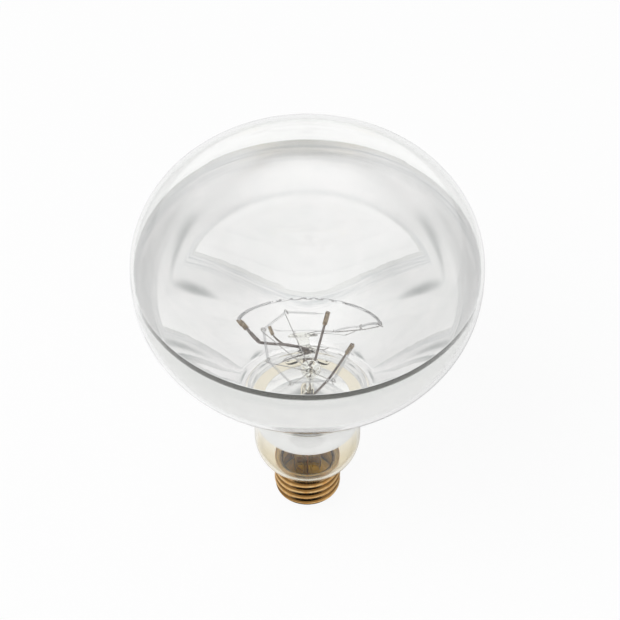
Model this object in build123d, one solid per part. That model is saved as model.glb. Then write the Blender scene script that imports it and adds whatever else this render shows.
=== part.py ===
from build123d import *
import math
import os

# Clear-faced reflector heat lamp with a medium screw base.
# It is modelled base down, with the axis of bulb and screw on Z.
# The origin is the lowest point, in the middle of the flat solder tip. Sizes are in millimetres.

# Blown glass envelope, outer surface
glass_wall = 1.1
neck_end_z = 13.0
neck_ease = 1.5
ease_drop = 1.58
bulge_arc = 15.0
neck_radius = 20.6
flare_arc = 28.0
cone_angle = 38.7
bowl_arc = 40.0
bowl_radius = 63.5
bowl_widest_z = 130.0
rim_straight = 3.5
rim_start_z = bowl_widest_z + rim_straight
rim_arc = 33.5
face_arc = 130.0

# Mirror coating on the inside of the glass
coating_thickness = 0.15
coating_low_z = 49.0
coating_past_rim = 2.5
coating_high_z = rim_start_z + coating_past_rim
coating_clearance = 0.02

# Screw base: a rolled brass shell, an insulator and a centre contact
shell_bottom_z = 6.5
shell_top_z = 24.3
shell_wall = 0.3
crest_radius = 13.1
root_radius = 12.34
thread_pitch = 3.629
crest_front_z = 15.5
shoulder_radius = 9.6
shoulder_height = 2.4
thread_runout = 1.8
collar_height = 2.0
outer_sections_per_turn = 5
inner_sections_per_turn = 4
shoulder_sections = 3
fade_sections = 2
base_clearance = 0.06

insulator_top_z = 9.6
insulator_wall = 2.4
insulator_foot_z = 2.1
insulator_foot_radius = 5.6
insulator_hole_radius = 1.5

contact_radius = 4.9
contact_thickness = 0.9
contact_hole_radius = 1.2
solder_radius = 2.6
solder_flat_radius = 1.7
solder_depth = 1.5

cement_bottom_z = 17.0
cement_top_drop = 0.5
cement_room = 1.24
neck_end_radius = root_radius - shell_wall - cement_room

# Glass stem: flared tube with a press that seals the leads
stem_radius = 5.5
stem_wall = 1.1
lip_flat = 1.3
lip_bends = 2
press_bottom_z = 41.0
press_rise = 6.0
press_thickness = 4.6
press_width = 16.0
press_above_baffle = 0.1
exhaust_radius = 1.9
exhaust_bore = 1.0
exhaust_tip_z = 11.6

# Heat baffle
baffle_z = 56.9
baffle_radius = 17.0
baffle_thickness = 0.4
slot_clearance = 0.3

# Glass rod with its button
arbor_radius = 1.6
arbor_foot_x = 0.5
button_x = 1.3
button_z = 75.4
button_radius = 3.9
button_height = 4.6
button_edge = 1.4
button_sides = 10

# Filament: a coiled wire bent round five hooks, from lead 1 to lead 2
filament_z = 88.5
coil_radius = 0.55
tail_radius = 0.2
tail_length = 2.6
tail_clearance = 0.45
lead_tip_radii = (18.5, 16.9)
lead_tip_angles = (65, 0)
hook_radii = (19.6, 18.7, 16.1, 18.9, 19.4)
hook_angles = (114, 152, 204, 251, 300)

# Support wires
wire_radius = 0.18
wire_seat = 2.0
hook_clearance = 0.2
hook_turn = 285
hook_bends = 5
thin_wire_sides = 8
thick_wire_sides = 10

# Leads
lead_radius = 0.5
lead_spacing = 7.0
lead_rise = 1.6
lead_knees = ((2.7, 8.0, 70.0), (8.3, 0.0, 69.3))
lead_past_filament = 1.2
clamp_wall = 0.28
clamp_length = 5.4
outer_lead_radius = 0.3
side_lead_angle = 125
side_lead_exit_radius = 7.0
seal_clearance = 0.02
side_solder_radius = 1.0
side_solder_height = 0.7
side_solder_taper = 25


def envelope_outline(inset):
    """Half outline of the blown glass, moved inwards by inset and closed along the axis."""
    lean = math.radians(cone_angle)
    neck = neck_radius - inset
    end = neck_end_radius - inset
    bulge = bulge_arc - inset
    flare = flare_arc + inset
    bowl = bowl_arc - inset
    rim = rim_arc - inset
    face = face_arc - inset

    bulge_x = neck - bulge
    ease_x = neck_end_radius + neck_ease
    reach = bulge_arc + neck_ease
    ease_z = shell_top_z - ease_drop
    bulge_z = ease_z + math.sqrt(reach**2 - (ease_x - bulge_x) ** 2)
    share = bulge / reach
    join = (bulge_x + share * (ease_x - bulge_x), bulge_z - share * (bulge_z - ease_z))

    bowl_x = bowl_radius - bowl_arc
    cone_top = (bowl_x + bowl * math.cos(lean), bowl_widest_z - bowl * math.sin(lean))
    cone_low_r = neck + flare * (1 - math.cos(lean))
    cone_low_z = cone_top[1] - (cone_top[0] - cone_low_r) / math.tan(lean)
    flare_z = cone_low_z - flare * math.sin(lean)
    hold = flare * math.tan(lean / 4) * 4 / 3

    rim_x = bowl_radius - rim_arc
    face_z = rim_start_z - math.sqrt((face - rim) ** 2 - rim_x**2)
    rim_turn = math.atan2(rim_start_z - face_z, rim_x)
    rim_end = (rim_x + rim * math.cos(rim_turn), rim_start_z + rim * math.sin(rim_turn))
    face_tilt = (math.pi / 2 - rim_turn) / 2

    def on_arc(x, z, radius, angle):
        return (x + radius * math.cos(angle), z + radius * math.sin(angle))

    bulge_low = math.atan2(join[1] - bulge_z, join[0] - bulge_x)
    edges = [
        Line((0, neck_end_z), (end, neck_end_z)),
        Line((end, neck_end_z), (end, ease_z)),
        Line((end, ease_z), join),
        ThreePointArc(join, on_arc(bulge_x, bulge_z, bulge, bulge_low / 2), (neck, bulge_z)),
        Line((neck, bulge_z), (neck, flare_z)),
        Bezier(
            (neck, flare_z),
            (neck, flare_z + hold),
            (cone_low_r - hold * math.sin(lean), cone_low_z - hold * math.cos(lean)),
            (cone_low_r, cone_low_z),
        ),
        Line((cone_low_r, cone_low_z), cone_top),
        ThreePointArc(
            cone_top,
            on_arc(bowl_x, bowl_widest_z, bowl, -lean / 2),
            (bowl_radius - inset, bowl_widest_z),
        ),
        Line((bowl_radius - inset, bowl_widest_z), (bowl_radius - inset, rim_start_z)),
        ThreePointArc(
            (bowl_radius - inset, rim_start_z), on_arc(rim_x, rim_start_z, rim, rim_turn / 2), rim_end
        ),
        ThreePointArc(
            rim_end, on_arc(0, face_z, face, math.pi / 2 - face_tilt), (0, face_z + face)
        ),
        Line((0, face_z + face), (0, neck_end_z)),
    ]
    return make_face(Wire(edges))


def turned(face):
    """Solid of revolution from a face drawn with radius across and height up."""
    return revolve(Plane.XZ * face, Axis.Z)


def glass_envelope():
    return turned(envelope_outline(0) - envelope_outline(glass_wall))


def mirror_coating():
    outside = glass_wall + coating_clearance
    film = envelope_outline(outside) - envelope_outline(outside + coating_thickness)
    height = coating_high_z - coating_low_z
    band = Pos(bowl_radius / 2, coating_low_z + height / 2) * Rectangle(bowl_radius, height)
    return turned(film & band)


def shell_form(inset, sections_per_turn):
    """Threaded body: circles stacked along Z, pushed off centre in a helix, under a plain collar."""
    middle = (crest_radius + root_radius) / 2 - inset
    depth = (crest_radius - root_radius) / 2
    edge = shoulder_radius - inset
    shoulder_end_z = shell_bottom_z + shoulder_height
    collar_z = shell_top_z - collar_height
    fade_z = collar_z - thread_runout

    levels = []
    for i in range(shoulder_sections):
        turn = math.pi / 2 * i / shoulder_sections
        height = shoulder_end_z - shoulder_height * math.cos(turn)
        levels.append((height, edge + (middle - edge) * math.sin(turn), depth * math.sin(turn) ** 2))
    steps = max(2, round((fade_z - shoulder_end_z) / thread_pitch * sections_per_turn))
    for i in range(steps):
        levels.append((shoulder_end_z + (fade_z - shoulder_end_z) * i / steps, middle, depth))
    for i in range(fade_sections + 1):
        fade = (1 + math.cos(math.pi * i / fade_sections)) / 2
        height = fade_z + thread_runout * i / fade_sections
        levels.append((height, middle + depth * (1 - fade), depth * fade))

    rings = []
    for height, radius, offset in levels:
        phase = 2 * math.pi * (height - crest_front_z) / thread_pitch - math.pi / 2
        centre = (offset * math.cos(phase), offset * math.sin(phase), height)
        rings.append(Pos(*centre) * Circle(radius))
    collar = Pos(0, 0, collar_z + collar_height / 2) * Cylinder(middle + depth, collar_height)
    return loft(rings, ruled=True) + collar


def screw_shell():
    return shell_form(0, outer_sections_per_turn) - shell_form(shell_wall, inner_sections_per_turn)


def base_insulator():
    gap = base_clearance
    lip = shoulder_radius - shell_wall - gap
    inner = root_radius - shell_wall - insulator_wall / 2
    top = shell_bottom_z + shoulder_height
    outline = Polyline(
        (insulator_hole_radius, insulator_foot_z),
        (insulator_foot_radius, insulator_foot_z),
        (lip, shell_bottom_z),
        (inner, top),
        (inner, insulator_top_z),
        (inner - insulator_wall, insulator_top_z),
        (insulator_hole_radius + insulator_wall, insulator_foot_z + insulator_wall),
        (insulator_hole_radius, insulator_foot_z + insulator_wall),
        (insulator_hole_radius, insulator_foot_z),
    )
    return turned(make_face(outline))


def centre_contact():
    """Brass washer under the insulator, with the eyelet hole for the lead."""
    middle_z = insulator_foot_z - contact_thickness / 2
    washer = Cylinder(contact_radius, contact_thickness) - Cylinder(contact_hole_radius, contact_thickness)
    return Pos(0, 0, middle_z) * washer


def centre_solder():
    """Solder in the eyelet hole and in a flattened drop below it, round the end of the lead."""
    gap = seal_clearance
    face_z = insulator_foot_z - contact_thickness - gap
    drop = Polyline(
        (0, 0),
        (solder_flat_radius, 0),
        (solder_radius, face_z),
        (contact_hole_radius - gap, face_z),
        (contact_hole_radius - gap, insulator_foot_z),
        (0, insulator_foot_z),
        (0, 0),
    )
    hole = extrude(RegularPolygon(outer_lead_radius + gap, thin_wire_sides), solder_depth)
    return turned(make_face(drop)) - Pos(0, 0, insulator_foot_z - solder_depth) * hole


def basing_cement():
    """Ring of cement between the neck and the shell, wider inside the collar."""
    gap = base_clearance
    neck = neck_end_radius + gap
    shell = root_radius - shell_wall - gap
    collar = crest_radius - shell_wall - gap
    collar_z = shell_top_z - collar_height
    top = shell_top_z - cement_top_drop
    fill = Polyline(
        (neck, cement_bottom_z),
        (shell, cement_bottom_z),
        (shell, collar_z - thread_runout),
        (collar, collar_z),
        (collar, top),
        (neck, top),
        (neck, cement_bottom_z),
    )
    channel = RegularPolygon(outer_lead_radius + seal_clearance, thin_wire_sides)
    return turned(make_face(fill) - envelope_outline(-gap)) - rod_along(side_lead_path(), channel)


def side_lead_path():
    """From the press, round the stem's lip, up between neck and shell, and out to the collar."""
    turn = math.radians(side_lead_angle)
    low = neck_end_z - stem_wall - 3 * outer_lead_radius
    track = (neck_end_radius + root_radius - shell_wall) / 2
    rim = crest_radius - shell_wall - outer_lead_radius - base_clearance
    collar_z = shell_top_z - collar_height
    foot = lead_points(0)[0]
    points = [foot, (foot[0], foot[1], neck_end_z + stem_radius)]
    for radius, height in (
        (side_lead_exit_radius / 2, low + side_lead_exit_radius / 3),
        (side_lead_exit_radius, low),
        (track, low),
        (track, collar_z - thread_runout),
        (rim, collar_z),
        (rim, shell_top_z - cement_top_drop),
    ):
        points.append((radius * math.cos(turn), radius * math.sin(turn), height))
    return Polyline(*points)


def stem_flare():
    lip_arc = neck_end_radius - lip_flat - stem_radius
    bend = (stem_radius + lip_arc, neck_end_z + lip_arc)

    def trumpet(radius):
        turns = [math.pi * (1 + i / lip_bends / 2) for i in range(lip_bends + 1)]
        return [(bend[0] + radius * math.cos(t), bend[1] + radius * math.sin(t)) for t in turns]

    outside = [(stem_radius, press_bottom_z), *trumpet(lip_arc), (neck_end_radius, neck_end_z)]
    inside = [(stem_radius - stem_wall, press_bottom_z), *trumpet(lip_arc + stem_wall)]
    inside.append((neck_end_radius, neck_end_z - stem_wall))
    tube = turned(make_face(Polyline(*outside, *reversed(inside), outside[0])))
    flat_z = press_bottom_z + press_rise
    shoulder = loft(
        [
            Pos(0, 0, press_bottom_z) * Circle(stem_radius),
            Pos(0, 0, flat_z) * Rot(0, 0, 90) * SlotOverall(press_width, press_thickness),
        ],
        ruled=True,
    )
    flat = extrude(
        Pos(0, 0, flat_z) * Rot(0, 0, 90) * SlotOverall(press_width, press_thickness),
        press_top_z() - flat_z,
    )
    stem = tube + shoulder + flat
    for number in range(2):
        foot, rise = lead_points(number)[:2]
        hole = RegularPolygon(lead_radius + seal_clearance, thick_wire_sides)
        stem -= rod_along(Line(foot, rise), hole)
    return stem


def press_top_z():
    return baffle_z + baffle_thickness + press_above_baffle


def exhaust_tube():
    length = press_bottom_z - exhaust_tip_z - exhaust_radius
    tube = Pos(0, 0, press_bottom_z - length / 2) * Cylinder(exhaust_radius, length)
    tip_height = exhaust_radius
    tip = Cone(exhaust_bore / 2, exhaust_radius, tip_height)
    tip = Pos(0, 0, exhaust_tip_z + tip_height / 2) * tip
    bore = Pos(0, 0, press_bottom_z - length / 2) * Cylinder(exhaust_bore, length)
    return tube + tip - bore


def heat_baffle():
    """Bright disc with a slot that the press stands in."""
    slot = Rot(0, 0, 90) * SlotOverall(
        press_width + 2 * slot_clearance, press_thickness + 2 * slot_clearance
    )
    return extrude(Pos(0, 0, baffle_z) * (Circle(baffle_radius) - slot), baffle_thickness)


def button_axis(height):
    """Point on the slightly leaning rod at a height."""
    share = (height - press_top_z()) / (button_z - press_top_z())
    return (arbor_foot_x + share * (button_x - arbor_foot_x), 0, height)


def glass_arbor():
    low = button_z - button_height / 2
    rod = loft([Pos(*button_axis(z)) * Circle(arbor_radius) for z in (press_top_z(), low)], ruled=True)
    button = extrude(RegularPolygon(button_radius, button_sides), button_height)
    button = chamfer(button.edges().filter_by(Plane.XY), button_edge)
    arbor = rod + Pos(button_x, 0, low) * button
    for number in range(len(hook_angles)):
        path = support_path(number)
        hole = RegularPolygon(wire_radius + seal_clearance, thin_wire_sides)
        arbor -= extrude(Plane(path @ 0, z_dir=path % 0) * hole, button_radius)
    return arbor


def corner_point(radius, angle):
    turn = math.radians(angle)
    return (radius * math.cos(turn), radius * math.sin(turn), filament_z)


def hook_plane(number):
    """Upright plane from the button's axis to a hook, with the reach to the filament."""
    corner = corner_point(hook_radii[number], hook_angles[number])
    run = (corner[0] - button_x, corner[1])
    reach = math.hypot(*run)
    along = (run[0] / reach, run[1] / reach, 0)
    across = (along[1], -along[0], 0)
    return Plane(origin=(button_x, 0, 0), x_dir=along, z_dir=across), reach


def support_path(number):
    """Straight run out of the button, then an open loop of short bends round the coil."""
    plane, reach = hook_plane(number)
    loop = coil_radius + hook_clearance + wire_radius
    across = reach - wire_seat
    rise = filament_z - button_z
    heading = math.atan2(rise, across) - math.asin(loop / math.hypot(across, rise))
    bend = math.radians(hook_turn) / hook_bends
    out = loop / math.cos(bend / 2)
    points = [(wire_seat, button_z)]
    for i in range(hook_bends):
        turn = heading - math.pi / 2 + bend * (i + 0.5)
        points.append((reach + out * math.cos(turn), filament_z + out * math.sin(turn)))
    last = heading - math.pi / 2 + bend * hook_bends
    points.append((reach + loop * math.cos(last), filament_z + loop * math.sin(last)))
    return plane * Polyline(*points)


def rod_along(path, section):
    """Wire of one section along straight runs with mitred bends."""
    return sweep(Plane(path @ 0, z_dir=path % 0) * section, path=path, transition=Transition.RIGHT)


def support_wire(number):
    return rod_along(support_path(number), RegularPolygon(wire_radius, thin_wire_sides))


def lead_tip(number):
    return corner_point(lead_tip_radii[number], lead_tip_angles[number])


def towards(start, end, distance):
    """Point at a distance from start on the way to end."""
    step = Vector(*end) - Vector(*start)
    return tuple(Vector(*start) + step.normalized() * distance)


def filament():
    """Outer form of the coil over its hooks, with a thin straight tail at each lead."""
    hooks = [corner_point(r, a) for r, a in zip(hook_radii, hook_angles)]
    clear = lead_radius + clamp_wall + tail_clearance
    ends = []
    solid = None
    for number, hook in ((0, hooks[0]), (1, hooks[-1])):
        tip = lead_tip(number)
        tail_start = towards(tip, hook, clear)
        coil_end = towards(tip, hook, clear + tail_length)
        ends.append(coil_end)
        tail = rod_along(Line(tail_start, coil_end), RegularPolygon(tail_radius, thin_wire_sides))
        solid = tail if solid is None else solid + tail
    coil = Polyline(ends[0], *hooks, ends[1])
    return solid + rod_along(coil, RegularPolygon(coil_radius, thick_wire_sides))


def lead_points(number):
    side = 1 if number == 0 else -1
    knee = lead_knees[number]
    tip = lead_tip(number)
    base = (0, side * lead_spacing / 2, press_bottom_z)
    rise = (0, side * lead_spacing / 2, press_top_z() + lead_rise)
    past = (tip[0], tip[1], filament_z + lead_past_filament)
    return base, rise, knee, past


def lead_wire(number):
    return rod_along(Polyline(*lead_points(number)), RegularPolygon(lead_radius, thick_wire_sides))


def lead_clamp(number):
    """Sleeve folded round the end of a lead, over the filament's tail."""
    base, rise, knee, past = lead_points(number)
    start = towards(past, knee, clamp_length)
    inner = 2 * (lead_radius + seal_clearance)
    outer = inner + 2 * clamp_wall
    return rod_along(Line(start, past), Rectangle(outer, outer) - Rectangle(inner, inner))


def side_lead():
    return rod_along(side_lead_path(), RegularPolygon(outer_lead_radius, thin_wire_sides))


def centre_lead():
    """Copper wire from the press down to the solder in the centre contact."""
    points = [
        (0, -lead_spacing / 2, press_bottom_z),
        (0, -lead_spacing / 2, neck_end_z),
        (0, -lead_spacing / 4, exhaust_tip_z - exhaust_radius),
        (0, 0, insulator_foot_z + insulator_wall),
        (0, 0, insulator_foot_z - solder_depth + seal_clearance),
    ]
    return rod_along(Polyline(*points), RegularPolygon(outer_lead_radius, thin_wire_sides))


def side_solder():
    """Drop of solder on the shell's rim, over the end of the side lead."""
    foot = RegularPolygon(side_solder_radius, thin_wire_sides)
    drop = extrude(foot, side_solder_height, taper=side_solder_taper)
    place = Rot(0, 0, side_lead_angle) * Pos(crest_radius, 0, shell_top_z - collar_height / 2)
    return place * Rot(0, 90, 0) * drop - shell_form(-seal_clearance, outer_sections_per_turn)


def all_pieces():
    pieces = {
        "glass_envelope": glass_envelope(),
        "mirror_coating": mirror_coating(),
        "heat_baffle": heat_baffle(),
        "stem_flare": stem_flare(),
        "exhaust_tube": exhaust_tube(),
        "glass_arbor": glass_arbor(),
        "filament": filament(),
        "screw_shell": screw_shell(),
        "base_insulator": base_insulator(),
        "centre_contact": centre_contact(),
        "centre_solder": centre_solder(),
        "basing_cement": basing_cement(),
        "side_lead": side_lead(),
        "centre_lead": centre_lead(),
        "side_solder": side_solder(),
    }
    for number in range(len(hook_angles)):
        pieces[f"support_wire_{number + 1}"] = support_wire(number)
    for number in range(2):
        pieces[f"lead_wire_{number + 1}"] = lead_wire(number)
        pieces[f"lead_clamp_{number + 1}"] = lead_clamp(number)
    return pieces


os.makedirs("parts", exist_ok=True)
for name, solid in all_pieces().items():
    export_step(solid, f"parts/{name}.step")
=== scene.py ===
import math

import bmesh
import bpy
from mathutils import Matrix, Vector


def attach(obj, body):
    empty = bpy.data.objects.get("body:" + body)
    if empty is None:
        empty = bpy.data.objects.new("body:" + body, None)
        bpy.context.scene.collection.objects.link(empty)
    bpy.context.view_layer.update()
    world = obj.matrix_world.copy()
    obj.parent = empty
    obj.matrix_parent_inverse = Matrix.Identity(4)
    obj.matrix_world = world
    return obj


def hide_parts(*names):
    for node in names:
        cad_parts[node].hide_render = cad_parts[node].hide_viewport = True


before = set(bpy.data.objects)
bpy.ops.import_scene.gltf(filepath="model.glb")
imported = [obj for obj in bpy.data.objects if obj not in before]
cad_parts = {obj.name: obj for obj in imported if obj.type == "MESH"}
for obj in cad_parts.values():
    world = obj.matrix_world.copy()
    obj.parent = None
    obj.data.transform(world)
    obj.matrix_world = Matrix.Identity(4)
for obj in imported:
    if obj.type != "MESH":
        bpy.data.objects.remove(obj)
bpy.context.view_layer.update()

# The stem. A lead glass tube is flared at its foot, to be fused to the neck later, and its top
# is pressed flat while soft, so that it seals the two leads. It carries the whole inside.
mm = 0.001
tube_radius = 5.5
tube_wall = 1.1
tube_top = 41.0
bore_top = 40.0
lip_centre = (9.5, 17.0)
lip_edge = 10.8
lip_height = 13.0
press_top = 57.4
press_low = 48.5
press_thick = 2.3
press_wide = 8.0
press_square = 3.5
sharp_from = 40
glass_index = 1.5
noise_span = (0.3, 0.7)


def solid_piece(name, form):
    """The form as an object, smooth but for its sharp edges."""
    bmesh.ops.recalc_face_normals(form, faces=form.faces)
    mesh = bpy.data.meshes.new(name)
    form.to_mesh(mesh)
    form.free()
    mesh.shade_smooth()
    mesh.set_sharp_from_angle(angle=math.radians(sharp_from))
    piece = bpy.data.objects.new(name, mesh)
    bpy.context.scene.collection.objects.link(piece)
    return piece


def skinned(name, form, rows, loop):
    """Skin from row to row of points. A row of one point is a tip."""
    pairs = list(zip(rows, rows[1:]))
    if loop:
        pairs.append((rows[-1], rows[0]))
    for low, high in pairs:
        around = max(len(low), len(high))
        if around == 1:
            continue
        for i in range(around):
            j = (i + 1) % around
            corners = [low[i % len(low)], low[j % len(low)]]
            corners += [high[j % len(high)], high[i % len(high)]]
            form.faces.new(list(dict.fromkeys(corners)))
    return solid_piece(name, form)


def ring_stack(name, rings, around, loop=False):
    """Skin over rings, each (half width, half depth, height, squareness, centre across).

    A squareness of 2 is a circle.
    """
    form = bmesh.new()
    rows = []
    for half_x, half_y, height, square, shift in rings:
        if half_x == 0:
            rows.append([form.verts.new((shift * mm, 0, height * mm))])
            continue
        points = []
        for i in range(around):
            turn = 2 * math.pi * (i + 0.5) / around
            x = math.copysign(abs(math.cos(turn)) ** (2 / square), math.cos(turn))
            y = math.copysign(abs(math.sin(turn)) ** (2 / square), math.sin(turn))
            points.append(form.verts.new(((shift + half_x * x) * mm, half_y * y * mm, height * mm)))
        rows.append(points)
    return skinned(name, form, rows, loop)


def arc(centre, radius, start, stop, steps):
    """Points on an arc in the outline's plane, angles in degrees."""
    turns = [math.radians(start + (stop - start) * i / steps) for i in range(steps + 1)]
    return [(centre[0] + radius * math.cos(t), centre[1] + radius * math.sin(t)) for t in turns]


def fit(piece, node, material):
    """The piece stands for a node of the frame, with its finish."""
    piece.data.materials.clear()
    piece.data.materials.append(material)
    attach(piece, "root")
    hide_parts(node)


def new_finish(name):
    """A material with one shader in it."""
    material = bpy.data.materials.new(name)
    material.use_nodes = True
    return material


def shader_node(owner, kind, **settings):
    """A new node of a material or of the world."""
    node = owner.node_tree.nodes.new("ShaderNode" + kind)
    for setting, value in settings.items():
        setattr(node, setting, value)
    return node


def feed(owner, socket, value):
    """Gives a socket a fixed value, or links it to the output of another node."""
    if isinstance(value, bpy.types.NodeSocket):
        owner.node_tree.links.new(value, socket)
    else:
        socket.default_value = (*value, 1) if socket.type == "RGBA" else value


def dress(material, values):
    """Feeds the material's shader, from the names of its sockets."""
    shader = material.node_tree.nodes["Principled BSDF"]
    for name, value in values.items():
        feed(material, shader.inputs[name], value)


def reckoned(owner, operation, *values, kind="Math", result="Value", **settings):
    """The result of one operation on numbers or on vectors."""
    node = shader_node(owner, kind, operation=operation, **settings)
    for socket, value in zip(node.inputs, values):
        feed(owner, socket, value)
    return node.outputs[result]


def ranged(owner, value, start, stop, low=0.0, high=1.0):
    """A number that goes evenly from low to high while value goes from start to stop."""
    scale = shader_node(owner, "MapRange")
    feed(owner, scale.inputs["Value"], value)
    for name, number in zip(("From Min", "From Max", "To Min", "To Max"), (start, stop, low, high)):
        scale.inputs[name].default_value = number
    return scale.outputs["Result"]


def mixed(owner, factor, first, second, blend="MIX"):
    """A colour that goes from the first to the second with factor."""
    mix = shader_node(owner, "Mix", data_type="RGBA", blend_type=blend)
    for name, value in (("Factor", factor), ("A", first), ("B", second)):
        feed(owner, mix.inputs[name], value)
    return mix.outputs["Result"]


def layered(owner, factor, below, above):
    """The shader below where factor is 0, the one above where it is 1."""
    mix = shader_node(owner, "MixShader")
    for socket, value in zip(mix.inputs, (factor, below, above)):
        feed(owner, socket, value)
    return mix.outputs["Shader"]


def any_ray(owner, kinds):
    """1 for a ray of one of the kinds."""
    path = shader_node(owner, "LightPath")
    total = path.outputs[kinds[0]]
    for kind in kinds[1:]:
        total = reckoned(owner, "MAXIMUM", total, path.outputs[kind])
    return total


def place_on(owner):
    """The place on the piece, in metres."""
    return shader_node(owner, "TexCoord").outputs["Object"]


def clouds(owner, vector, scale, detail):
    """Soft noise over a vector."""
    cloud = shader_node(owner, "TexNoise")
    for name, value in (("Vector", vector), ("Scale", scale), ("Detail", detail)):
        feed(owner, cloud.inputs[name], value)
    return cloud.outputs["Fac"]


def wanders(owner, size, detail=3.0):
    """Noise that goes over the piece, with about that many millimetres from spot to spot."""
    return clouds(owner, place_on(owner), 1 / (size * mm), detail)


def between(owner, noise, low, high):
    """A number that follows the noise from low to high."""
    return ranged(owner, noise, *noise_span, low, high)


def blended(owner, noise, first, second):
    """A colour that follows the noise from the first to the second."""
    return mixed(owner, between(owner, noise, 0, 1), first, second)


def ripple(material, noise, height):
    """Small rises of that many millimetres on the shader's surface."""
    bump = shader_node(material, "Bump")
    feed(material, bump.inputs["Distance"], height * mm)
    feed(material, bump.inputs["Height"], noise)
    dress(material, {"Normal": bump.outputs["Normal"]})


def clear_glass(name, first, second, wave, wave_height):
    """Clear glass with faint cords, which lets lamplight through to what is inside it."""
    material = new_finish(name)
    cords = wanders(material, wave, detail=1.0)
    dress(material, {
        "Transmission Weight": 1.0,
        "IOR": glass_index,
        "Roughness": 0.0,
        "Base Color": blended(material, cords, first, second),
    })
    ripple(material, cords, wave_height)
    open_air = shader_node(material, "BsdfTransparent")
    feed(material, open_air.inputs["Color"], first)
    nodes = material.node_tree.nodes
    lamplight = any_ray(material, ("Is Shadow Ray", "Is Diffuse Ray"))
    glass = nodes["Principled BSDF"].outputs["BSDF"]
    shown = layered(material, lamplight, glass, open_air.outputs["BSDF"])
    feed(material, nodes["Material Output"].inputs["Surface"], shown)
    return material


stem_glass = clear_glass(
    "lead_glass", (0.98, 0.985, 0.98), (0.95, 0.965, 0.955), wave=6.0, wave_height=0.03
)
outside = [
    (0, 0, press_top, 2, 0),
    (1.3, 5.0, press_top, 3.2, 0),
    (2.0, 7.4, press_top - 0.1, press_square, 0),
    (2.25, 7.85, press_top - 0.5, press_square, 0),
    (press_thick, press_wide, press_top - 1.3, press_square, 0),
    (press_thick, press_wide, press_low, press_square, 0),
    (2.35, 7.95, 47.0, 3.4, 0),
    (2.9, 7.6, 45.4, 3.0, 0),
    (4.0, 6.8, 43.4, 2.5, 0),
    (5.0, 6.0, 42.0, 2.2, 0),
    (5.4, 5.6, tube_top, 2, 0),
    (tube_radius, tube_radius, tube_top - 2, 2, 0),
]
lip_arc = lip_centre[0] - tube_radius
lip = arc(lip_centre, lip_arc, 180, 270, 10) + [(lip_edge, lip_height)]
under = [(lip_edge, lip_height - tube_wall)]
under += arc(lip_centre, lip_arc + tube_wall, 270, 180, 10)
under += [(tube_radius - tube_wall, bore_top), (3.4, 41.2), (1.8, 42.0), (0, 42.2)]
rings = outside + [(r, r, z, 2, 0) for r, z in lip + under]
fit(ring_stack("glass_stem", rings, around=96), "stem_flare", stem_glass)

# The exhaust tube. A thin glass tube inside the stem, fused to the foot of the press. The air is
# pumped out through it, and its tip is then melted shut.
tube = [(0, 11.6), (0.6, 11.65), (1.1, 12.0), (1.5, 12.7), (1.8, 13.6), (1.9, 14.6)]
tube += [(1.9, tube_top), (1.0, tube_top), (1.0, 15.0), (0.8, 13.9), (0.4, 13.3), (0, 13.1)]


def turned(name, outline, around, loop=False):
    """A turned form from its outline, each point (radius, height)."""
    return ring_stack(name, [(r, r, z, 2, 0) for r, z in outline], around, loop)


fit(turned("pumping_tube", tube, around=48), "exhaust_tube", stem_glass)

# The two leads. Thick nickel-plated rods stand in the press, bend outwards above the disc and
# rise to the filament. They are tinted brown and grey by the heat of sealing.
lead_radius = 0.5
lead_apart = 3.5
lead_bend = 2.0
lead_paths = (
    ((0, lead_apart, tube_top), (0, lead_apart, 59.0), (2.7, 8.0, 70.0), (7.82, 16.77, 89.7)),
    ((0, -lead_apart, tube_top), (0, -lead_apart, 59.0), (8.3, 0.0, 69.3), (16.9, 0.0, 89.7)),
)


def eased(points, reach, steps):
    """The line with each inner corner bent over a reach on both sides."""
    points = [Vector(p) for p in points]
    line = [points[0]]
    for before, corner, after in zip(points, points[1:], points[2:]):
        start = corner + (before - corner).normalized() * reach
        stop = corner + (after - corner).normalized() * reach
        for i in range(steps + 1):
            t = i / steps
            line.append(start * (1 - t) ** 2 + corner * 2 * t * (1 - t) + stop * t**2)
    return line + [points[-1]]


def drawn_wire(name, points, radius, sides):
    """Round wire of one thickness along points."""
    curve = bpy.data.curves.new(name, "CURVE")
    curve.dimensions = "3D"
    curve.bevel_depth = radius * mm
    curve.bevel_resolution = sides
    curve.use_fill_caps = True
    line = curve.splines.new("POLY")
    line.points.add(len(points) - 1)
    for spot, point in zip(line.points, points):
        spot.co = (*(Vector(point) * mm), 1)
    line.use_smooth = True
    piece = bpy.data.objects.new(name, curve)
    bpy.context.scene.collection.objects.link(piece)
    return piece


def bare_metal(name, first, second, spot, rough, rise):
    """Metal whose colour and polish wander from spot to spot."""
    material = new_finish(name)
    patches = wanders(material, spot)
    dress(material, {
        "Metallic": 1.0,
        "Base Color": blended(material, patches, first, second),
        "Roughness": between(material, patches, *rough),
    })
    ripple(material, patches, rise)
    return material


tinted_nickel = bare_metal(
    "tinted_nickel", (0.36, 0.33, 0.31), (0.16, 0.13, 0.12), spot=2.5, rough=(0.22, 0.42), rise=0.02
)
for number, path in enumerate(lead_paths, 1):
    line = eased(path, reach=lead_bend, steps=8)
    lead = drawn_wire(f"lead_{number}", line, lead_radius, sides=4)
    fit(lead, f"lead_wire_{number}", tinted_nickel)

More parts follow.
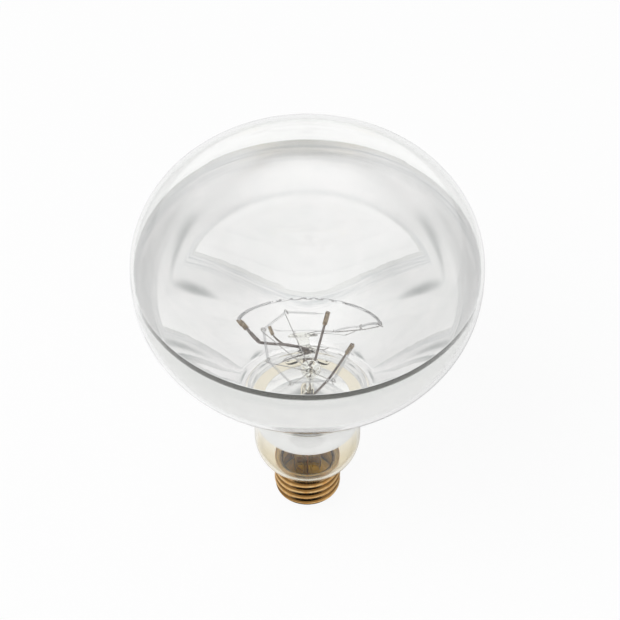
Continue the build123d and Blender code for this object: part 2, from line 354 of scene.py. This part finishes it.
# The glass rod and its button. The rod is fused to the press, and its molten end is pressed into
# a round button with many small faces, which holds the feet of the five support wires.
rod_foot = 0.5
button_across = 1.3
button_height = 75.4
button_radius = 3.9
melted_edge = 0.12
rod = [
    (0, 0, press_top, 2, rod_foot),
    (2.3, 2.3, press_top, 2, rod_foot),
    (1.9, 1.9, 58.2, 2, rod_foot),
    (1.6, 1.6, 59.5, 2, 0.56),
    (1.55, 1.55, 66.0, 2, 0.9),
    (1.6, 1.6, 72.3, 2, 1.24),
    (2.1, 2.1, 72.9, 2, button_across),
]
for share, rise in ((0.72, -2.25), (0.92, -1.5), (1.0, -0.5), (1.0, 0.6), (0.86, 1.6), (0.6, 2.15)):
    radius = button_radius * share
    rod.append((radius, radius, button_height + rise, 2, button_across))
rod.append((0, 0, button_height + 2.3, 2, button_across))
arbor = ring_stack("rod_and_button", rod, around=20)
arbor_round = arbor.modifiers.new("melted_edges", "BEVEL")
arbor_round.width = melted_edge * mm
arbor_round.segments = 2
button_glass = clear_glass(
    "button_glass", (0.98, 0.98, 0.96), (0.9, 0.9, 0.84), wave=1.4, wave_height=0.12
)
fit(arbor, "glass_arbor", button_glass)

# The five support wires. Thin molybdenum wires are stuck into the hot button. Each ends in a
# small open curl round the filament, with its tip left sticking out.
coil_radius = 0.55
coil_height = 88.5
support_radius = 0.18
hooks = ((19.6, 114), (18.7, 152), (16.1, 204), (18.9, 251), (19.4, 300))
curl_gap = 0.2
curl_radius = coil_radius + curl_gap + support_radius
curl_turn = 330
curl_spread = 0.9
curl_steps = 20
foot_depth = 1.2
foot_bend = 2.0
tip_length = 1.1


def hook_point(radius, angle):
    """A point at the filament's height."""
    turn = math.radians(angle)
    return Vector((radius * math.cos(turn), radius * math.sin(turn), coil_height))


pale_wire = bare_metal(
    "molybdenum", (0.62, 0.61, 0.6), (0.36, 0.34, 0.33), spot=1.2, rough=(0.2, 0.35), rise=0.01
)
for number, (radius, angle) in enumerate(hooks, 1):
    hook = hook_point(radius, angle)
    reach = math.hypot(hook.x - button_across, hook.y)
    out = Vector(((hook.x - button_across) / reach, hook.y / reach, 0))
    side = Vector((out.y, -out.x, 0))
    run, rise = reach - foot_bend, coil_height - button_height
    heading = math.atan2(rise, run) - math.asin(curl_radius / math.hypot(run, rise))
    foot = Vector((button_across, 0, button_height))
    points = [foot + out * foot_depth, foot + out * foot_bend]
    for i in range(curl_steps + 1):
        share = i / curl_steps
        turn = heading - math.pi / 2 + math.radians(curl_turn) * share
        across = reach + curl_radius * math.cos(turn)
        height = Vector((0, 0, rise + curl_radius * math.sin(turn)))
        points.append(foot + out * across + height + side * (share - 0.5) * curl_spread)
    points.append(points[-1] + (points[-1] - points[-2]).normalized() * tip_length)
    support = drawn_wire(f"support_{number}", points, support_radius, sides=2)
    fit(support, f"support_wire_{number}", pale_wire)

# The filament. Tungsten wire is wound into a fine coil, hung over the five curls, and ends in a
# straight tail at each lead. It is left grey by its first burning.
coil_pitch = 0.8
coil_wire = 0.11
tail_length = 2.6
tail_gap = 1.23
corner_bend = 1.1
turn_points = 9
lead_tips = (hook_point(18.5, 65), hook_point(16.9, 0))
corners = [hook_point(*hook) for hook in hooks]
tails = []
for tip, corner in ((lead_tips[0], corners[0]), (lead_tips[1], corners[-1])):
    way = (corner - tip).normalized()
    tails.append((tip + way * tail_gap, tip + way * (tail_gap + tail_length)))
axis = eased([tails[0][1], *corners, tails[1][1]], reach=corner_bend, steps=6)
lengths = [0.0]
for start, stop in zip(axis, axis[1:]):
    lengths.append(lengths[-1] + (stop - start).length)
steps = round(lengths[-1] / coil_pitch * turn_points)
coil = [tails[0][0]]
stretch = 0
for i in range(steps + 1):
    along = lengths[-1] * i / steps
    while stretch < len(axis) - 2 and lengths[stretch + 1] < along:
        stretch += 1
    span = axis[stretch + 1] - axis[stretch]
    share = (along - lengths[stretch]) / (lengths[stretch + 1] - lengths[stretch])
    spot = axis[stretch] + span * share
    level = Vector((-span.y, span.x, 0)).normalized()
    turn = 2 * math.pi * i / turn_points
    wide = (coil_radius - coil_wire) * min(1, i / turn_points, (steps - i) / turn_points)
    coil.append(spot + level * wide * math.cos(turn) + Vector((0, 0, wide * math.sin(turn))))
coil.append(tails[1][0])
filament = drawn_wire("coiled_filament", coil, coil_wire, sides=1)
tungsten = bare_metal(
    "tungsten", (0.82, 0.82, 0.83), (0.6, 0.6, 0.61), spot=1.5, rough=(0.3, 0.5), rise=0.01
)
fit(filament, "filament", tungsten)

# The two clamps. A tan strip is folded round the end of each lead and squeezed shut over the
# filament's tail.
strip_half = 0.8
strip_length = 5.4
strip_square = 5
strip_edge = 0.12
tan_strip = bare_metal(
    "tan_strip", (0.5, 0.42, 0.31), (0.24, 0.18, 0.13), spot=1.0, rough=(0.25, 0.5), rise=0.03
)
strip = [(0.55, 0.0), (0.94, 0.0), (1.0, strip_edge), (0.98, 1.6), (1.0, 2.7), (0.97, 3.9)]
strip += [(1.0, strip_length - strip_edge), (0.94, strip_length), (0.55, strip_length)]
for number, path in enumerate(lead_paths, 1):
    tip, knee = Vector(path[-1]), Vector(path[-2])
    way = (tip - knee).normalized()
    rings = [(strip_half * s, strip_half * s, rise, strip_square, 0) for s, rise in strip]
    clamp = ring_stack(f"clamp_{number}", rings, around=32, loop=True)
    turn = way.to_track_quat("Z", "Y")
    for corner in clamp.data.vertices:
        corner.co = turn @ corner.co + (tip - way * strip_length) * mm
    fit(clamp, f"lead_clamp_{number}", tan_strip)

# The heat disc. A bright aluminium disc is slipped over the press through its slot. It keeps the
# filament's heat out of the neck and the screw base.
disc_height = 56.9
disc_thickness = 0.4
disc_radius = 17.0
disc_edge = 0.25
disc_top = disc_height + disc_thickness
brim = disc_radius - disc_edge
brim_round = 0.12
slot_x = 2.6
slot_y = 8.3
slot_edge = 0.1
slot_square = 4
disc = [
    (brim, brim, disc_height, 2, 0),
    (disc_radius, disc_radius, disc_height + brim_round, 2, 0),
    (disc_radius, disc_radius, disc_top - brim_round, 2, 0),
    (brim, brim, disc_top, 2, 0),
    (slot_x + slot_edge, slot_y + slot_edge, disc_top, slot_square, 0),
    (slot_x, slot_y, disc_top - slot_edge, slot_square, 0),
    (slot_x, slot_y, disc_height + slot_edge, slot_square, 0),
    (slot_x + slot_edge, slot_y + slot_edge, disc_height, slot_square, 0),
]
heat_disc = ring_stack("heat_disc", disc, around=128, loop=True)
bright_sheet = bare_metal(
    "bright_sheet", (0.9, 0.9, 0.89), (0.84, 0.84, 0.83), spot=9.0, rough=(0.05, 0.12), rise=0.02
)
fit(heat_disc, "heat_baffle", bright_sheet)

# The bulb. It is blown in one piece from soft glass: straight neck, round swelling above the
# screw base, trumpet-shaped flare, wide bowl and domed face, with a wall of about a millimetre.
glass_wall = 1.1
neck_end = 13.0
neck_radius = 10.8
bowl_lean = 38.7
bowl_centre = (23.5, 130.0)
bowl_arc = 40.0
rim_centre = (30.0, 133.5)
rim_arc = 33.5
face_radius = 130.0
face_centre = (0.0, rim_centre[1] - math.sqrt((face_radius - rim_arc) ** 2 - rim_centre[0] ** 2))
rim_turn = math.degrees(math.atan2(rim_centre[1] - face_centre[1], rim_centre[0]))
neck_centre = (5.6, 37.8)
neck_arc = 15.0
ease_centre = (12.3, 22.72)
ease_arc = 1.5
ease_turn = math.degrees(
    math.atan2(neck_centre[1] - ease_centre[1], neck_centre[0] - ease_centre[0])
)
flare_arc = 28.0
lean = math.radians(bowl_lean)
flare_x = neck_centre[0] + neck_arc + flare_arc
slope_gap = flare_arc * math.cos(lean) + bowl_arc * math.cos(lean) - (flare_x - bowl_centre[0])
flare_centre = (
    flare_x,
    bowl_centre[1] - (flare_arc + bowl_arc) * math.sin(lean) - slope_gap / math.tan(lean),
)


def bulb_outline(inset):
    """Half outline from the neck's end to the middle of the face, that far inside the glass."""
    line = [(neck_radius - inset, neck_end)]
    line += arc(ease_centre, ease_arc + inset, 180, ease_turn, 8)
    line += arc(neck_centre, neck_arc - inset, ease_turn - 180, 0, 26)[1:]
    line += arc(flare_centre, flare_arc + inset, 180, 180 - bowl_lean, 20)
    line += arc(bowl_centre, bowl_arc - inset, -bowl_lean, 0, 26)
    line += arc(rim_centre, rim_arc - inset, 0, rim_turn, 44)
    line += arc(face_centre, face_radius - inset, rim_turn, 90, 16)[1:]
    line[-1] = (0, line[-1][1])
    return line


def risen(owner, low, high):
    """0 below one height, 1 above the other, and an even change between them."""
    split = shader_node(owner, "SeparateXYZ")
    feed(owner, split.inputs["Vector"], place_on(owner))
    return ranged(owner, split.outputs["Z"], low * mm, high * mm)


def base_colour(material):
    """What the shader's colour is fed by so far."""
    return material.node_tree.nodes["Principled BSDF"].inputs["Base Color"].links[0].from_socket


# The glass is warmer low on the neck: partly a tint of the glass there, partly painted reflection
# of the brass shell below.
tint_and_brass_reflection = (0.87, 0.82, 0.69)
warm_tint_span = (42.0, 50.0)
outline = bulb_outline(0) + bulb_outline(glass_wall)[::-1]
envelope = turned("blown_bulb", outline, around=192, loop=True)
soft_glass = clear_glass(
    "soft_glass", (0.988, 0.988, 0.984), (0.968, 0.972, 0.965), wave=24.0, wave_height=0.02
)
tinted_reflecting_neck = mixed(soft_glass, risen(soft_glass, *warm_tint_span), tint_and_brass_reflection, base_colour(soft_glass))
dress(soft_glass, {"Base Color": tinted_reflecting_neck})
fit(envelope, "glass_envelope", soft_glass)

# The mirror. Aluminium is vaporised inside the bulb and settles as a bright film on the bowl and
# the upper neck. Its edge is masked on the neck and fades out softly past the rim.
film_gap = 0.02
film_inset = glass_wall + film_gap
film_thickness = 0.15
film_low = 49.0
film_high = 136.0
thin_span = (film_high - 2.9, film_high - 2.2)
dark_reflection_length = 45.0
dark_reflection_width = 1.1
dark_reflection_span = (124.0, 132.0)
rough_span = (104.0, 116.0)
rough_range = (0.01, 0.2)
film_wave = 7.0
film_ripple = 0.012


def banded(outline, low, high):
    """The part of an outline between two heights, cut exactly at both."""
    line = []
    for (r0, z0), (r1, z1) in zip(outline, outline[1:]):
        if z0 < low < z1:
            line.append((r0 + (r1 - r0) * (low - z0) / (z1 - z0), low))
        if low <= z1 <= high:
            line.append((r1, z1))
        if z0 < high < z1:
            line.append((r0 + (r1 - r0) * (high - z0) / (z1 - z0), high))
    return line


film = banded(bulb_outline(film_inset), film_low, film_high)
film += banded(bulb_outline(film_inset + film_thickness), film_low, film_high)[::-1]
mirror = turned("mirror_film", film, around=192, loop=True)


def film_side(name, first, second, edge_colour, dark_reflection_colour):
    """One side of the film. It darkens towards its edge, where it is thin, and has dark streaks of
    painted reflection below the rim.
    """
    material = new_finish(name)
    waves = wanders(material, film_wave, detail=1.0)
    # The streaks are painted reflection: thin dark lines in the film's colour that stand for dark
    # things round the bulb seen in the mirror.
    size = tuple(1 / (length * mm) for length in (dark_reflection_length, dark_reflection_length, dark_reflection_width))
    drawn = reckoned(
        material, "MULTIPLY", place_on(material), size, kind="VectorMath", result="Vector"
    )
    lines = between(material, clouds(material, drawn, scale=1.0, detail=2.0), 0, 1)
    dark_reflections = reckoned(material, "MULTIPLY", lines, risen(material, *dark_reflection_span))
    with_dark_reflections = mixed(material, dark_reflections, blended(material, waves, first, second), dark_reflection_colour)
    dress(material, {
        "Metallic": 1.0,
        "Base Color": mixed(material, risen(material, *thin_span), with_dark_reflections, edge_colour),
        "Roughness": ranged(material, risen(material, *rough_span), 0, 1, *rough_range),
    })
    ripple(material, waves, film_ripple)
    return material


silvering = film_side(
    "silvering", (0.965, 0.96, 0.96), (0.945, 0.945, 0.945),
    edge_colour=(0.85, 0.855, 0.85), dark_reflection_colour=(0.7, 0.72, 0.73),
)
film_back = film_side(
    "film_back", (0.86, 0.86, 0.85), (0.84, 0.84, 0.835),
    edge_colour=(0.08, 0.08, 0.068), dark_reflection_colour=(0.78, 0.79, 0.78),
)
fit(mirror, "mirror_coating", silvering)
mirror.data.materials.append(film_back)

# The faces that look away from the axis show the film's back through the glass.
for face in mirror.data.polygons:
    face.material_index = int(face.normal.xy.dot(face.center.xy) > 0)

# The screw shell. Thin brass is drawn into a cup and rolled with a round thread, seven turns to
# the inch. A plain collar at the top takes the neck, and a rounded shoulder grips the insulator.
shell_low = 6.5
shell_high = 24.3
shell_wall = 0.3
crest = 13.1
root = 12.34
pitch = 3.629
front_crest = 15.5
shoulder_radius = 9.6
shoulder_top = 8.9
first_row = shell_low + 0.02
close_rows = 12
close_span = 0.96
row_gap = 0.15
fade_low = 20.5
collar_low = 22.3
around_shell = 120
root_shade = (0.26, 0.135, 0.04)
shaded_root_span = (crest - 0.46, crest - 0.06)


def thread_radius(turn, height, inset):
    """Distance from the axis to the rolled thread, at an angle and a height."""
    middle, depth = (crest + root) / 2, (crest - root) / 2
    if height < shoulder_top:
        rise = math.acos(min(1, max(0, (shoulder_top - height) / (shoulder_top - shell_low))))
        middle = shoulder_radius + (middle - shoulder_radius) * math.sin(rise)
        depth *= math.sin(rise) ** 2
    if height > fade_low:
        fade = (1 + math.cos(math.pi * min(1, (height - fade_low) / (collar_low - fade_low)))) / 2
        middle, depth = middle + depth * (1 - fade), depth * fade
    phase = 2 * math.pi * (height - front_crest) / pitch - math.pi / 2
    return middle - inset + depth * math.cos(turn - phase)


heights = []
for i in range(close_rows + 1):
    heights.append(first_row + close_span * (i / close_rows) ** 2)
while heights[-1] < shell_high - row_gap:
    heights.append(heights[-1] + row_gap)
heights[-1] = shell_high
form = bmesh.new()
rows = []
for inset, levels in ((0, heights), (shell_wall, heights[::-1])):
    for height in levels:
        points = []
        for i in range(around_shell):
            turn = 2 * math.pi * i / around_shell
            r = thread_radius(turn, height, inset) * mm
            points.append(form.verts.new((r * math.cos(turn), r * math.sin(turn), height * mm)))
        rows.append(points)
shell = skinned("rolled_shell", form, rows, loop=True)
brass = bare_metal(
    "brass_tarnish_and_root_shade", (1.0, 0.72, 0.36), (0.8, 0.42, 0.13), spot=2.0, rough=(0.1, 0.26), rise=0.05
)
# The roots of the thread are painted darker: painted shade in the grooves.
no_height = (1, 1, 0)
level = reckoned(
    brass, "MULTIPLY", place_on(brass), no_height, kind="VectorMath", result="Vector"
)
distance = reckoned(brass, "LENGTH", level, kind="VectorMath")
clear_of_root_shade = ranged(brass, distance, shaded_root_span[0] * mm, shaded_root_span[1] * mm)
dress(brass, {"Base Color": mixed(brass, clear_of_root_shade, root_shade, base_colour(brass))})
fit(shell, "screw_shell", brass)

# The insulator. Black glass is moulded into the bottom of the shell and keeps it apart from the
# centre contact.
foot = [(1.5, 2.1), (5.2, 2.1), (5.6, 2.3), (7.0, 3.9), (8.6, 5.8), (9.2, 6.45), (9.25, 6.6)]
foot += [(10.1, 7.1), (10.7, 8.0), (10.84, 9.0), (10.84, 9.6), (8.44, 9.6), (3.9, 4.5), (1.5, 4.5)]
dust = (0.88, 0.5, 0.04)
dust_span = (4.2, 9.0)
insulator = turned("black_insulator", foot, around=96, loop=True)
black_glass = new_finish("black_glass")
cloud = wanders(black_glass, size=2.0)
black = blended(black_glass, cloud, (0.02, 0.02, 0.022), (0.05, 0.045, 0.05))
dress(black_glass, {
    "Base Color": mixed(black_glass, risen(black_glass, *dust_span), black, dust),
    "Roughness": between(black_glass, cloud, low=0.12, high=0.3),
})
ripple(black_glass, cloud, height=0.04)
fit(insulator, "base_insulator", black_glass)

# The centre contact. A stamped brass disc is held on the insulator, and the centre wire comes
# through its eyelet.
disc = [(1.2, 1.2), (4.2, 1.2), (4.7, 1.35), (4.9, 1.65), (4.9, 1.95), (4.8, 2.1), (1.2, 2.1)]
contact = turned("contact_disc", disc, around=96, loop=True)
contact_brass = bare_metal(
    "contact_brass", (0.85, 0.66, 0.38), (0.6, 0.42, 0.2), spot=1.6, rough=(0.2, 0.4), rise=0.02
)
fit(contact, "centre_contact", contact_brass)

# The inner and outer ends of the wiring. Copper wires lead from the press to the collar of the
# shell and to the centre contact, and both are soldered there.
copper_radius = 0.3
side_turn = math.radians(125)
side_way = Vector((math.cos(side_turn), math.sin(side_turn), 0))
track = (neck_radius + root - shell_wall) / 2
rim_track = crest - shell_wall - copper_radius - 0.06
drop_height = 23.3
drop_gap = 0.02
drop_foot = crest + 0.03
side_path = [(0, lead_apart, tube_top), (0, lead_apart, 18.5)]
for radius, height in (
    (lead_apart, 12.17), (7.0, 11.0), (track, 11.0), (track, fade_low),
    (rim_track, collar_low), (rim_track, shell_high - 0.5),
):
    side_path.append(side_way * radius + Vector((0, 0, height)))
centre_path = [(0, -lead_apart, tube_top), (0, -lead_apart, 13.0), (0, -lead_apart / 2, 9.7)]
centre_path += [(0, 0, 4.5), (0, 0, 0.62)]
copper = bare_metal(
    "bare_copper", (0.8, 0.45, 0.3), (0.5, 0.24, 0.14), spot=1.5, rough=(0.2, 0.4), rise=0.01
)
for name, path, reach in (("side", side_path, 0.4), ("centre", centre_path, 0.8)):
    wire = drawn_wire(f"{name}_copper", eased(path, reach, steps=4), copper_radius, sides=3)
    fit(wire, f"{name}_lead", copper)

tin = bare_metal(
    "dull_solder", (0.7, 0.7, 0.7), (0.48, 0.48, 0.49), spot=0.9, rough=(0.25, 0.5), rise=0.05
)
drop = [(0, 0), (1.5, 0), (1.9, 0.08), (2.3, 0.35), (2.55, 0.75), (2.6, 1.18)]
drop += [(1.18, 1.18), (1.18, 2.1), (0, 2.1)]
fit(turned("centre_drop", drop, around=64), "centre_solder", tin)
drop = [(0, 0), (1.0, 0), (0.98, 0.15), (0.85, 0.4), (0.6, 0.6), (0.3, 0.69), (0, 0.7)]
side_drop = turned("side_drop", drop, around=32)
turn = side_way.to_track_quat("Z", "Y")
drop_spot = (side_way * (crest + drop_gap) + Vector((0, 0, drop_height))) * mm
for corner in side_drop.data.vertices:
    corner.co = turn @ corner.co + drop_spot
    flat = Vector((corner.co.x, corner.co.y, 0))
    if flat.length < drop_foot * mm:
        corner.co += flat.normalized() * (drop_foot * mm - flat.length)
fit(side_drop, "side_solder", tin)

# The cement. A brown paste is put in the shell, the neck is pushed into it, and it is baked hard.
ring = [(10.86, 17.0), (11.98, 17.0), (11.98, 20.5), (12.74, 22.3), (12.74, 23.5), (12.5, 23.8)]
ring += [(12.1, 23.7), (11.75, 23.78), (11.6, 23.6), (11.0, 22.6), (10.86, 22.2)]
cement = turned("baked_cement", ring, around=128, loop=True)
paste = new_finish("baked_paste")
grain = wanders(paste, size=0.7, detail=5.0)
dress(paste, {
    "Base Color": blended(paste, grain, (0.82, 0.55, 0.18), (0.5, 0.3, 0.08)),
    "Roughness": between(paste, grain, low=0.6, high=0.9),
})
ripple(paste, grain, height=0.2)
fit(cement, "basing_cement", paste)

# The studio. A pale seamless floor under white air, one large soft lamp over the left shoulder
# and the camera high in front. The mirror and the brass see walls that are brightest high behind
# the bulb, a grey field round the camera and a painted shadow: a dark spot of floor in front of
# the bulb that only reflections show.
bright_side = (0.12, 0.8, 0.55)
wall_shades = ((0.22, (0.83,) * 3), (0.5, (0.74,) * 3), (0.88, (0.98,) * 3))
wall_strength = 1.17
camera_side = (0, -0.63, 0.777)
camera_field = ((0.972, (1, 1, 1)), (1.0, (0.46, 0.48, 0.48)))
floor_radius = 6.0
floor_drop = 0.2
floor_light = 0.93
floor_shadow_centre = (0, -0.035, 0)
floor_shadow_reach = (20, 27)
scene = bpy.context.scene
scene.view_settings.view_transform = "Standard"
air = bpy.data.worlds.new("white_air")
air.use_nodes = True
scene.world = air


def backdrop(background, colour, strength):
    """One background of the air."""
    feed(air, background.inputs["Color"], colour)
    feed(air, background.inputs["Strength"], strength)
    return background.outputs["Background"]


def facing(direction):
    """1 where the air is seen along a direction, -1 where it is seen against it."""
    way = shader_node(air, "TexCoord").outputs["Generated"]
    return reckoned(air, "DOT_PRODUCT", way, direction, kind="VectorMath")


def shades(factor, stops):
    """A colour that goes through the stops, each (place, colour)."""
    ramp = shader_node(air, "ValToRGB")
    elements = ramp.color_ramp.elements
    for place, colour in stops[1:-1]:
        elements.new(place).color = (*colour, 1)
    for element, (place, colour) in ((elements[0], stops[0]), (elements[-1], stops[-1])):
        element.position = place
        element.color = (*colour, 1)
    feed(air, ramp.inputs["Fac"], factor)
    return ramp.outputs["Color"]


light = shades(ranged(air, facing(bright_side), -1, 1), wall_shades)
field = shades(facing(camera_side), camera_field)
walls = mixed(air, 1.0, light, field, blend="MULTIPLY")
walls = backdrop(shader_node(air, "Background"), walls, wall_strength)
pale_air = backdrop(shader_node(air, "Background"), (0.8, 0.8, 0.8), 1.0)
soft_air = backdrop(air.node_tree.nodes["Background"], (0.985, 0.99, 1), 0.6)
shown = layered(air, any_ray(air, ("Is Glossy Ray",)), pale_air, walls)
seen = any_ray(air, ("Is Camera Ray", "Is Glossy Ray", "Is Transmission Ray"))
shown = layered(air, seen, soft_air, shown)
feed(air, air.node_tree.nodes["World Output"].inputs["Surface"], shown)

form = bmesh.new()
bmesh.ops.create_circle(form, cap_ends=True, segments=96, radius=floor_radius)
floor = solid_piece("pale_floor", form)
floor.location.z = -floor_drop * mm
pale = new_finish("pale_paper")
fibre = wanders(pale, size=3.0)
dress(pale, {
    "Roughness": 0.9,
    "Specular IOR Level": 0.0,
    "Base Color": blended(pale, fibre, (0.8, 0.8, 0.8), (0.82, 0.82, 0.82)),
})


def mirror_ray(owner):
    """1 for a ray that comes off metal or off the face of glass."""
    path = shader_node(owner, "LightPath")
    rays = (path.outputs["Is Glossy Ray"], path.outputs["Is Transmission Ray"])
    return reckoned(owner, "SUBTRACT", *rays, use_clamp=True)


def glow(owner, colour):
    """An even light of that colour."""
    emission = shader_node(owner, "Emission")
    feed(owner, emission.inputs["Color"], colour)
    return emission.outputs["Emission"]


nodes = pale.node_tree.nodes
backlit = reckoned(
    pale, "MULTIPLY", any_ray(pale, ("Is Camera Ray", "Is Transmission Ray")), floor_light
)
shown = layered(pale, backlit, nodes["Principled BSDF"].outputs["BSDF"], glow(pale, (1, 1, 1)))
# Painted shadow: reflections off metal and glass see the floor near the bulb as dark, standing for
# the bulb's shadow there.
away = reckoned(pale, "DISTANCE", place_on(pale), floor_shadow_centre, kind="VectorMath")
in_floor_shadow = ranged(pale, away, floor_shadow_reach[0] * mm, floor_shadow_reach[1] * mm, 1.0, 0.0)
shadow_in_reflections = reckoned(pale, "MULTIPLY", in_floor_shadow, mirror_ray(pale))
shown = layered(pale, shadow_in_reflections, shown, glow(pale, (0.02, 0.02, 0.02)))
feed(pale, nodes["Material Output"].inputs["Surface"], shown)
floor.data.materials.append(pale)

lamp_spot = Vector((-0.9, -0.7, 1.9))
lamp_aim = Vector((0, 0, 0.08))
disk = bpy.data.lights.new("large_lamp", "AREA")
disk.shape = "DISK"
disk.size = 1.4
disk.energy = 26
lamp = bpy.data.objects.new("large_lamp", disk)
scene.collection.objects.link(lamp)
lamp.location = lamp_spot
lamp.rotation_euler = (lamp_aim - lamp_spot).to_track_quat("-Z", "Y").to_euler()
lamp.visible_glossy = False
lamp.visible_transmission = False

lens = bpy.data.cameras.new("long_lens")
lens.sensor_width = 36
lens.lens = 126.3
lens.shift_x = 0.0042
lens.clip_start = 0.01
camera = bpy.data.objects.new("camera", lens)
scene.collection.objects.link(camera)
camera.location = (0, -0.5333, 0.7016)
camera.rotation_euler = (math.radians(42), 0, 0)
scene.camera = camera

scene.cycles.max_bounces = 32
scene.cycles.glossy_bounces = 24
scene.cycles.transmission_bounces = 24
scene.cycles.transparent_max_bounces = 32
